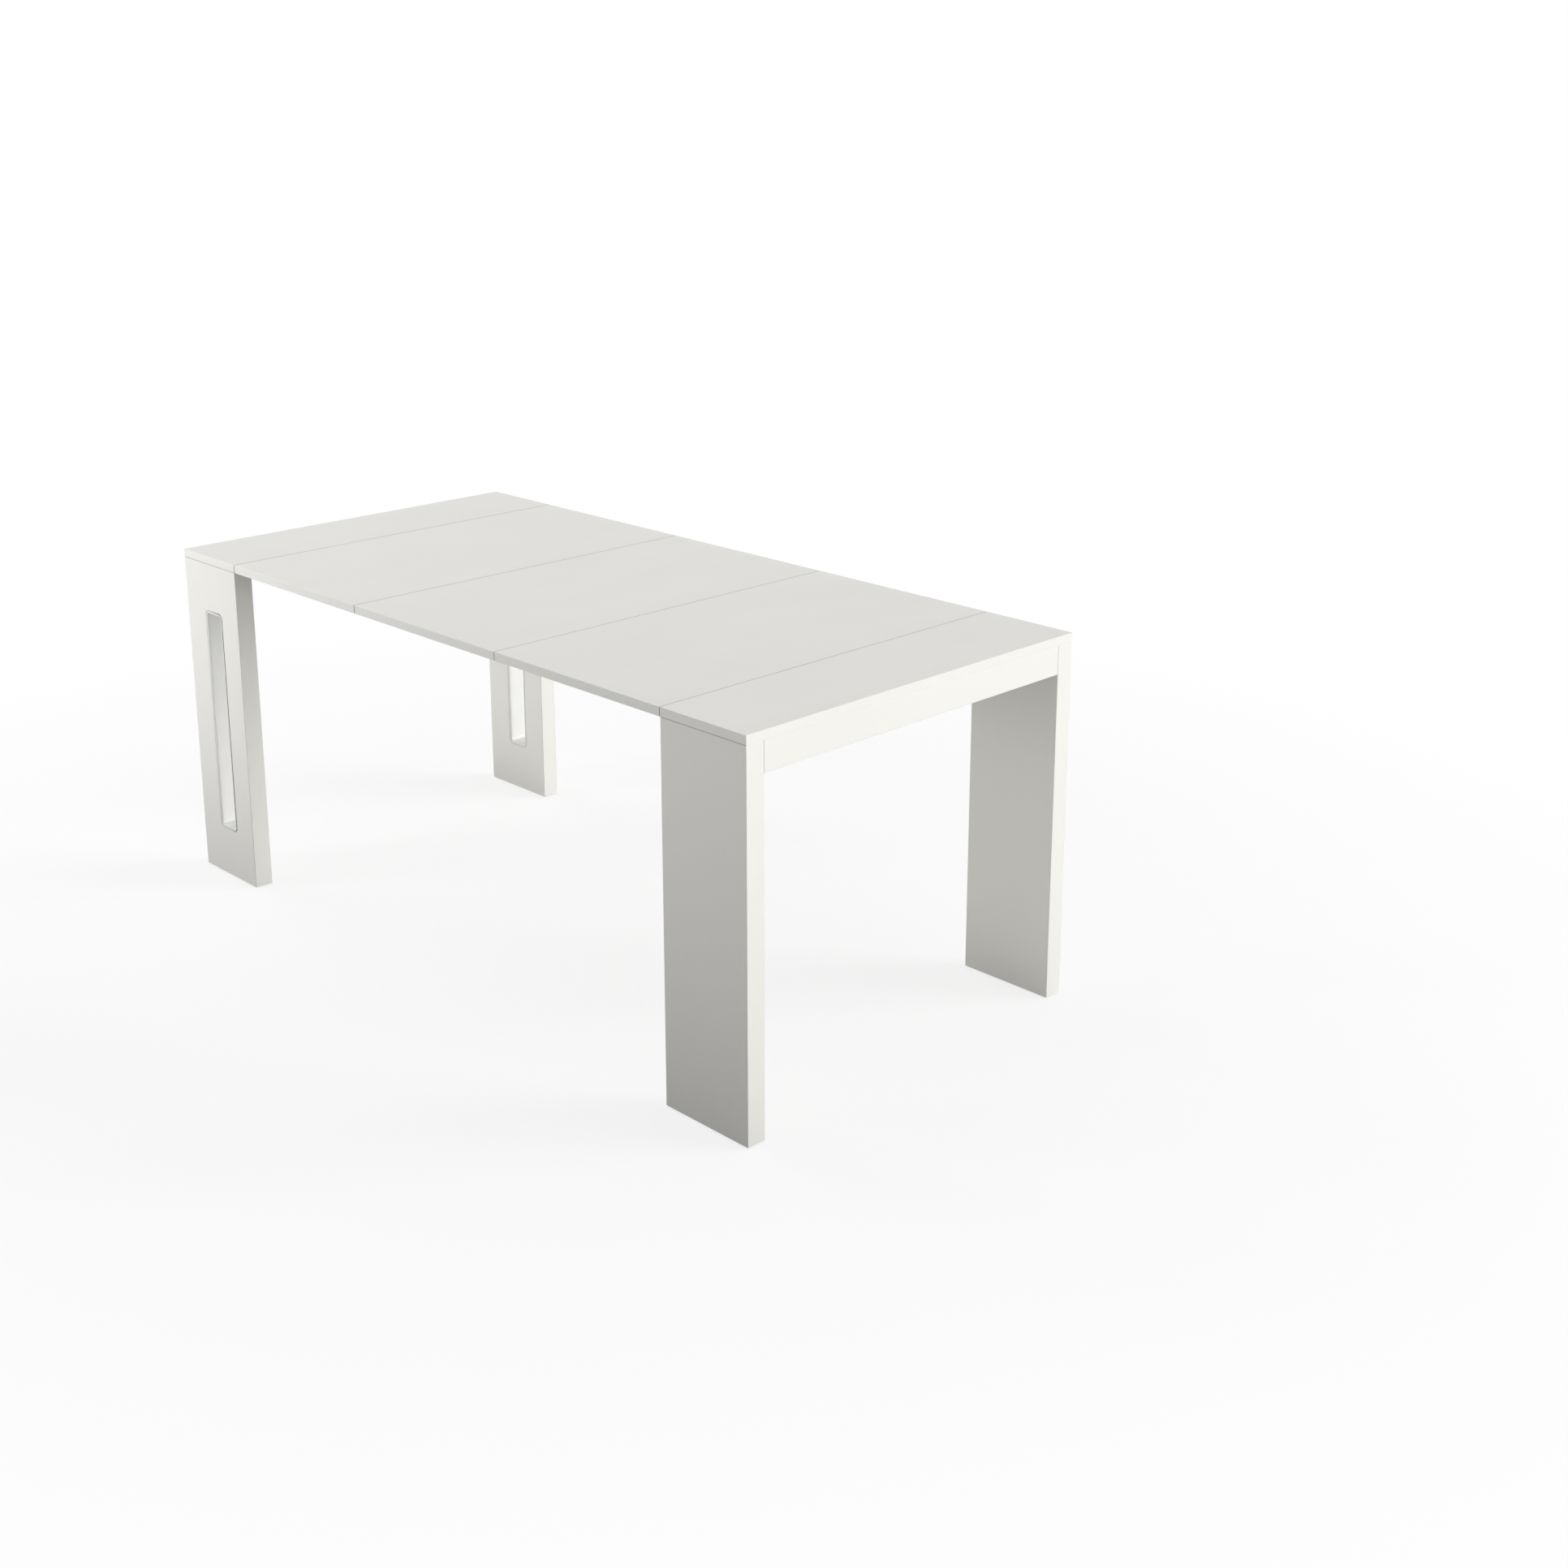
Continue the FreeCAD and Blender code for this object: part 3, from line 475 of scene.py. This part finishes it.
# %% Beech
BEECH_TINTS = (0.50, 0.315, 0.175, 1), (0.66, 0.46, 0.285, 1)
FLECK_TINT = (0.33, 0.19, 0.10, 1)
GRAIN_STRETCH = (60.0, 900.0, 900.0)
FLECK_STRETCH = (220.0, 1500.0, 1500.0)
FLECK_RANGE = (0.60, 0.68)  # only the peaks of the noise
GRAIN_DEPTH = 0.0002


def make_beech():
    material, place, shader = new_finish("bare_beech")
    grain = noise(stretched(place, *GRAIN_STRETCH), 1.0, 4.0)
    flecks = spread(place, noise(stretched(place, *FLECK_STRETCH), 1.0, 2.0), *FLECK_RANGE)
    wood = between(place, spread(place, grain, *NOISE_RANGE), *BEECH_TINTS)
    dress(shader, place, {
        "Base Color": between(place, 0.6 * flecks, wood, FLECK_TINT),
        "Roughness": 0.62 + 0.15 * grain,
        "Normal": relief(place, grain, 0.20, GRAIN_DEPTH),
    })
    return material


beech = make_beech()
print(beech.name, len(beech.node_tree.nodes), "nodes")

# %% [markdown]
# ## Giving the finishes to the solids
#
# One finish per slot, in the solid's first material place. The shapes stay exactly as they came.

# %% Dress the solids
finish_of_slot = {
    "lacquered_board": lacquer,
    "slot_liner": sleeve_plastic,
    "glide": glide_nylon,
    "slider": key_nylon,
    "rail": aluminium,
    "bracket": bracket_zinc,
    "screw": screw_zinc,
    "dowel": beech,
}
for slot, members in pieces_in.items():
    for node in members:
        solids[node].data.materials.clear()
        solids[node].data.materials.append(finish_of_slot[slot])
print("dressed", sum(len(members) for members in pieces_in.values()), "solids")

# %% [markdown]
# ## Where the small turned pieces sit
#
# Screws, bolts and pins come as plain turned solids, several to a node. The detailed ones below take
# their places from those solids: each island of the mesh is one fastener, its longest side is its axis,
# and its wider end is the head.

# %% Read the places of the fasteners
SAME_POINT = 1e-6


def islands(node):
    """The separate solids of a node, as lists of points."""
    shape = bmesh.new()
    shape.from_mesh(solids[node].data)
    bmesh.ops.remove_doubles(shape, verts=shape.verts, dist=SAME_POINT)
    unseen = set(shape.verts)
    found = []
    while unseen:
        reached = [unseen.pop()]
        for vertex in reached:
            for edge in vertex.link_edges:
                other = edge.other_vert(vertex)
                if other in unseen:
                    unseen.remove(other)
                    reached.append(other)
        found.append([vertex.co.copy() for vertex in reached])
    shape.free()
    return found


def seat(points):
    """A fastener's length and radius, and the matrix that sets a piece made along +Z on it, head first."""
    low = Vector([min(p[i] for p in points) for i in range(3)])
    high = Vector([max(p[i] for p in points) for i in range(3)])
    size = high - low
    axis = max(range(3), key=lambda i: size[i])
    middle = (low + high) / 2
    radius = max(size[i] for i in range(3) if i != axis) / 2
    near_end = [p for p in points if p[axis] < middle[axis]]
    far_end = [p for p in points if p[axis] > middle[axis]]

    def girth(end):
        """The greatest distance of an end's points from the axis."""
        across = [i for i in range(3) if i != axis]
        return max(math.hypot(*(p[i] - middle[i] for i in across)) for p in end)

    along = Vector([0, 0, 0])
    along[axis] = 1 if girth(near_end) >= girth(far_end) - SAME_POINT else -1
    head = middle.copy()
    head[axis] -= along[axis] * size[axis] / 2
    turn = Vector((0, 0, 1)).rotation_difference(along)
    return size[axis], radius, Matrix.Translation(head) @ turn.to_matrix().to_4x4()


print("one screw:", [round(v, 4) for v in seat(islands("storage_frame_screws")[0])[:2]])

# %% [markdown]
# ## Turning a profile
#
# A screw head, a bolt head and a pin are all turned work: a short list of radii and heights, spun round.
# The same helper makes all three. It can also pinch the radius in and out on the way round, which gives a
# pin its flutes.


# %% A lathe
def lathe(shape, profile, sides, flute=0.0, flutes=0):
    """Adds a profile of (radius, height) turned about Z, closed at both ends."""
    rings = []
    for radius, height in profile:
        ring = []
        for side in range(sides):
            turn = 2 * math.pi * side / sides
            pinch = flute * (0.5 - 0.5 * math.cos(flutes * turn)) if radius > flute else 0.0
            spot = ((radius - pinch) * math.cos(turn), (radius - pinch) * math.sin(turn), height)
            ring.append(shape.verts.new(spot))
        rings.append(ring)
    for ring, following in zip(rings, rings[1:]):
        for side in range(sides):
            after = (side + 1) % sides
            shape.faces.new((ring[side], ring[after], following[after], following[side]))
    shape.faces.new(list(reversed(rings[0])))
    shape.faces.new(rings[-1])
    bmesh.ops.recalc_face_normals(shape, faces=shape.faces)


def as_mesh(shape, name):
    """A mesh made from the shape, which is then let go."""
    mesh = bpy.data.meshes.new(name)
    shape.to_mesh(mesh)
    shape.free()
    return mesh


print("lathe ready")

# %% [markdown]
# ## Heads with a recess
#
# A wood screw is driven by a cross and a machine bolt by a hexagon. The recess is cut with a Boolean,
# because its flat walls are what catches the light. Only one screw and one bolt are made; the others are
# copies.


# %% Recess cutter
def prism(outline, depth, taper):
    """A cutter that stands from just below Z zero up to its depth, narrower at the far end."""
    shape = bmesh.new()
    lower = [shape.verts.new((x, y, -depth)) for x, y in outline]
    upper = [shape.verts.new((x * taper, y * taper, depth)) for x, y in outline]
    shape.faces.new(list(reversed(lower)))
    shape.faces.new(upper)
    for i in range(len(outline)):
        j = (i + 1) % len(outline)
        shape.faces.new((lower[i], lower[j], upper[j], upper[i]))
    bmesh.ops.recalc_face_normals(shape, faces=shape.faces)
    return as_mesh(shape, "recess_cutter")


def cut(mesh, cutter_mesh):
    """The first mesh with the second taken out of it."""
    blank = bpy.data.objects.new("blank", mesh)
    cutter = bpy.data.objects.new("cutter", cutter_mesh)
    for item in (blank, cutter):
        bpy.context.scene.collection.objects.link(item)
    boolean = blank.modifiers.new("recess", "BOOLEAN")
    boolean.operation = "DIFFERENCE"
    boolean.object = cutter
    made = bpy.data.meshes.new_from_object(blank.evaluated_get(bpy.context.evaluated_depsgraph_get()))
    for item in (blank, cutter):
        bpy.data.objects.remove(item)
    return made


print("recess cutter ready")

# %% Cross and hexagon
DOME_ANGLES = (0.12, 0.4, 0.7, 1.0, 1.3, 1.57)  # from the crown to the rim of a head
DOME_SHARE = 0.86  # of a head's height, above its straight rim
RECESS_SHARE = 0.72  # of a head's height
RECESS_TAPER = 0.72
TIP_SHARE = 0.4  # of the shank's radius
TURNED_SIDES = 40
SCREW_HEAD, SCREW_SHANK = 0.0024, 0.002  # height of the head, radius of the shank
BOLT_HEAD, BOLT_SHANK = 0.003, 0.0025
CROSS_REACH, CROSS_HALF_ARM = 0.0023, 0.00055
HEXAGON_ACROSS = 0.0036


def cross_outline(reach, half_arm):
    """The corners of a cross with four like arms."""
    corner = [(reach, -half_arm), (reach, half_arm), (half_arm, half_arm)]
    outline = []
    for quarter in range(4):
        c, s = ((1, 0), (0, 1), (-1, 0), (0, -1))[quarter]
        outline += [(x * c - y * s, x * s + y * c) for x, y in corner]
    return outline


def hexagon_outline(across_corners):
    """The corners of a regular hexagon."""
    angles = [math.pi / 3 * side for side in range(6)]
    return [(across_corners / 2 * math.cos(a), across_corners / 2 * math.sin(a)) for a in angles]


def make_fastener(name, radius, length, head_height, shank, recess):
    """A turned fastener along +Z, its head's crown at zero, with a recess in the head."""
    shape = bmesh.new()
    crown = [(radius * math.sin(a), head_height * (1 - math.cos(a)) * DOME_SHARE) for a in DOME_ANGLES]
    skirt = [(radius, head_height), (shank, head_height)]
    tip = [(shank, length - shank), (shank * TIP_SHARE, length)]
    lathe(shape, crown + skirt + tip, TURNED_SIDES)
    return cut(as_mesh(shape, name), prism(recess, head_height * RECESS_SHARE, RECESS_TAPER))


screw_length, screw_radius, _ = seat(islands("storage_frame_screws")[0])
bolt_length, bolt_radius, _ = seat(islands("storage_rail_bolts")[0])
cross = cross_outline(CROSS_REACH, CROSS_HALF_ARM)
hexagon = hexagon_outline(HEXAGON_ACROSS)
wood_screw = make_fastener("wood_screw", screw_radius, screw_length, SCREW_HEAD, SCREW_SHANK, cross)
rail_bolt = make_fastener("rail_bolt", bolt_radius, bolt_length, BOLT_HEAD, BOLT_SHANK, hexagon)
print("screw", len(wood_screw.polygons), "faces, bolt", len(rail_bolt.polygons), "faces")


# %% Set the fasteners in place
def copies_of(mesh, node, name, finish):
    """One piece that holds a copy of the mesh on every island of a node, and stands for it."""
    shape = bmesh.new()
    for points in islands(node):
        before = len(shape.verts)
        shape.from_mesh(mesh)
        shape.verts.ensure_lookup_table()
        bmesh.ops.transform(shape, matrix=seat(points)[2], verts=shape.verts[before:])
    piece = bpy.data.objects.new(name, as_mesh(shape, name))
    bpy.context.scene.collection.objects.link(piece)
    piece.data.materials.clear()
    piece.data.materials.append(finish)
    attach(piece, body_of[node])
    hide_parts(node)
    next(slot for slot, members in pieces_in.items() if node in members)
    return piece


for end in ("storage", "moving"):
    screws = copies_of(wood_screw, f"{end}_frame_screws", f"{end}_cross_head_screws", screw_zinc)
    bolts = copies_of(rail_bolt, f"{end}_rail_bolts", f"{end}_hexagon_bolts", screw_zinc)
    print(end, len(screws.data.polygons), "faces of screws,", len(bolts.data.polygons), "of bolts")

# %% [markdown]
# ## Fluted edge pins
#
# The pins that line the boards up are fluted beech: shallow grooves along the length let air and glue out
# of the hole. They show as soon as a leaf is lifted away, so they are turned with real flutes instead of
# a bump.

# %% Edge pins
FLUTE_DEPTH = 0.00035
PIN_EASE = 0.001
PIN_FLUTES = 16
PIN_SIDES = 6 * PIN_FLUTES
pin_length, pin_radius, _ = seat(islands("storage_top_pins")[0])
blank = bmesh.new()
lathe(blank, [
    (pin_radius - PIN_EASE, 0.0),
    (pin_radius, PIN_EASE),
    (pin_radius, pin_length - PIN_EASE),
    (pin_radius - PIN_EASE, pin_length),
], PIN_SIDES, FLUTE_DEPTH, PIN_FLUTES)
fluted_pin = as_mesh(blank, "fluted_pin")
for node in [n for n in pieces_in["dowel"] if n.endswith("_pins")]:
    pins = copies_of(fluted_pin, node, node.replace("_pins", "_fluted_pins"), beech)
    print(pins.name, len(pins.data.polygons), "faces")

# %% [markdown]
# ## Floor and background
#
# The table stands on plain white, with no horizon. A disc of floor catches the table's soft shadow, and
# fades to even white towards its rim. What the camera sees is lifted to white with the Light Path node.
# What the light sees is a little greyer close to the table, with a dark mat along the near long side, as
# in a studio where a black cloth keeps light off. Low down, a leg's outer face looks mostly at the mat,
# so it darkens towards the ground. A small mat in front of each far leg's inner face does the same there.

# %% Floor
FLOOR_RADIUS = 14.0
FLOOR_SIDES = 96
FLOOR_DROP = 0.0005  # keeps the floor from touching the feet
FLOOR_RIM = (1.2, 2.6)  # where the floor fades to even white
FLOOR_GRAIN_SCALE = 60.0
FLOOR_SEEN = (0.96, 0.96, 0.96, 1)
FLOOR_NEAR = (0.75, 0.75, 0.74, 1)
FLOOR_FAR = (0.90, 0.90, 0.89, 1)
MAT_TONE = (0.20, 0.20, 0.20, 1)
MAT_LINE = -0.75  # the long mat's middle line, across the table
MAT_ENDS = (-1.0, 1.35)
MAT_EDGE = (0.30, 0.55)
FOOT_LINE = 0.335  # the same for the small mats
FOOT_ENDS = (0.72, 0.92)
FOOT_EDGE = (0.02, 0.10)
SHADOW_SHARE = 0.25  # how much of the floor's shadow is seen


def white_rays(place):
    """One for the rays that should meet plain white: straight from the camera, mirrored or passed on."""
    kinds = [f"Is {ray} Ray" for ray in ("Glossy", "Transmission", "Camera")]
    glossy, passed, seen = (place.node("ShaderNodeLightPath", {}, {}, output=kind) for kind in kinds)
    return seen + glossy + passed


def cloth_share(place, along, off_line, ends, edge):
    """One on a cloth laid along a line between two ends, fading out at its edge."""
    past_end = (along - ends[1]).at_least(ends[0] - along).at_least(0)
    return 1 - spread(place, (past_end * past_end + off_line * off_line).root(), *edge)


def mat_share(place):
    """One on the long mat and on the two small ones."""
    x, y, _ = place.parts()
    long_mat = cloth_share(place, x, y - MAT_LINE, MAT_ENDS, MAT_EDGE)
    return long_mat.at_least(cloth_share(place, x.size(), y - FOOT_LINE, FOOT_ENDS, FOOT_EDGE))


def make_floor_finish():
    material, place, shader = new_finish("studio_floor")
    grain = noise(place, FLOOR_GRAIN_SCALE, 2.0)
    white_ray = white_rays(place)
    far = place.node("ShaderNodeVectorMath", {"operation": "LENGTH"}, {"Vector": place}, output="Value")
    rim = spread(place, far, *FLOOR_RIM)
    lit = between(place, mat_share(place), between(place, rim, FLOOR_NEAR, FLOOR_FAR), MAT_TONE)
    dress(shader, place, {
        "Base Color": between(place, white_ray, lit, FLOOR_SEEN),
        "Roughness": 0.7 + 0.2 * grain,
        "Specular IOR Level": 0.0,
    })
    lifted = white_ray * (1 - SHADOW_SHARE + SHADOW_SHARE * rim)
    white = place.node("ShaderNodeEmission", {}, {"Color": (1, 1, 1, 1), "Strength": 1.0})
    surface = Signal(place.tree, shader.outputs[0])
    mixed = place.node("ShaderNodeMixShader", {}, {0: lifted, 1: surface, 2: white})
    put(place.tree, place.tree.nodes["Material Output"].inputs["Surface"], mixed)
    return material


disc = bmesh.new()
bmesh.ops.create_circle(disc, cap_ends=True, segments=FLOOR_SIDES, radius=FLOOR_RADIUS)
floor = bpy.data.objects.new("studio_floor", as_mesh(disc, "studio_floor"))
bpy.context.scene.collection.objects.link(floor)
floor.location.z = cad_box[0][2] - FLOOR_DROP
floor.data.materials.append(make_floor_finish())
print("floor radius", FLOOR_RADIUS)

# %% [markdown]
# ## Light
#
# The studio is bright and soft. Light from above fills the shadows, and the floor throws it back. A
# distant low lamp beyond the far corner of the moving end makes every face that looks that way the
# brightest, also on the far legs and inside their slots, because it reaches in under the top. A soft box
# on the near left lights the storage end's side faces and falls off along the table, which is why the
# near right leg is the darkest plain face. It stands low, so that it also reaches the inner faces of the
# far legs under the top. It is kept out of reflections, because mirrored in the top it would leave a
# white patch. A fainter distant lamp does the same as the first for the faces that the picture doesn't
# show.

# %% World
LEVEL_ROUND = 0.03
LEVEL_OVERHEAD = 0.80
world = bpy.data.worlds.new("studio")
bpy.context.scene.world = world
world.use_nodes = True
backdrop = world.node_tree.nodes["Background"]
sky = Signal(world.node_tree, world.node_tree.nodes.new("ShaderNodeTexCoord").outputs["Generated"])
height = sky.node("ShaderNodeSeparateXYZ", {}, {"Vector": sky}, output="Z")
level = LEVEL_ROUND + (LEVEL_OVERHEAD - LEVEL_ROUND) * spread(sky, height, 0.0, 1.0)
white_ray = white_rays(sky)
put(world.node_tree, backdrop.inputs["Color"], (1, 1, 1, 1))
put(world.node_tree, backdrop.inputs["Strength"], white_ray + (1 - white_ray) * level)
print("light from all round", LEVEL_ROUND, "to", LEVEL_OVERHEAD, "overhead")

# %% Lamps
FAR_AWAY = 8
FAR_LAMP_ANGLE = math.radians(34)  # how wide a far lamp looks from the table
END_LAMP = {"heading": 44, "rise": 12, "energy": 2.9}
BACK_LAMP = {"heading": 188, "rise": 12, "energy": 1.1}
SOFT_BOX = {"energy": 7.0, "size": 1.0, "spread": math.radians(60)}
SOFT_BOX_PLACE = (-2.4, -3.0, 1.1)
SOFT_BOX_AIM = (-0.95, -0.45, 0.8)


def add_lamp(name, kind, place, aim, settings):
    """A lamp at a place, aimed at a point, out of the camera's sight."""
    light = bpy.data.lights.new(name, kind)
    for key, setting in settings.items():
        setattr(light, key, setting)
    lamp = bpy.data.objects.new(name, light)
    bpy.context.scene.collection.objects.link(lamp)
    lamp.location = place
    lamp.rotation_euler = (Vector(aim) - Vector(place)).to_track_quat("-Z", "Y").to_euler()
    lamp.visible_camera = False
    return lamp


def add_far_lamp(name, heading, rise, energy):
    """A big soft lamp so far off that it does not fade along the table."""
    turn = math.radians(heading)
    way = Vector((math.cos(turn), math.sin(turn), math.tan(math.radians(rise))))
    return add_lamp(name, "SUN", FAR_AWAY * way, (0, 0, 0), {"energy": energy, "angle": FAR_LAMP_ANGLE})


end_lamp = add_far_lamp("end_lamp", **END_LAMP)
back_lamp = add_far_lamp("back_lamp", **BACK_LAMP)
side_lamp = add_lamp("side_lamp", "AREA", SOFT_BOX_PLACE, SOFT_BOX_AIM, SOFT_BOX)
side_lamp.visible_glossy = False
print("lamps", end_lamp.name, back_lamp.name, side_lamp.name)

# %% [markdown]
# ## Camera
#
# The picture is taken from more than twice the table's height, off the corner of the moving end. A camera
# that looks down makes uprights lean together towards the floor. Part of the downward look comes from a
# small shift of the lens instead of a tilt, so they lean less. A large shift would straighten them
# altogether, but it would also push the table off the middle of the frame from every other side, so it is
# kept small.

# %% Camera
FRAME_PIXELS = 1932
FOCAL_PIXELS = 2537.8
SENSOR = 36.0
CAMERA_PLACE = (3.2637, -2.6747, 1.8705)
TILT_DOWN = math.radians(14.976)
HEADING = math.radians(45.223)
OPTICAL_CENTRE_ROW = 734

lens = bpy.data.cameras.new("corner_camera")
lens.sensor_width = SENSOR
lens.lens = SENSOR * FOCAL_PIXELS / FRAME_PIXELS
lens.shift_y = (OPTICAL_CENTRE_ROW - FRAME_PIXELS / 2) / FRAME_PIXELS
camera = bpy.data.objects.new("corner_camera", lens)
camera.location = CAMERA_PLACE
camera.rotation_euler = (math.pi / 2 - TILT_DOWN, 0, HEADING)
bpy.context.scene.collection.objects.link(camera)
bpy.context.scene.camera = camera
bpy.context.scene.view_settings.view_transform = "Standard"
print("lens", round(lens.lens, 2), "mm, shift", round(lens.shift_y, 3))
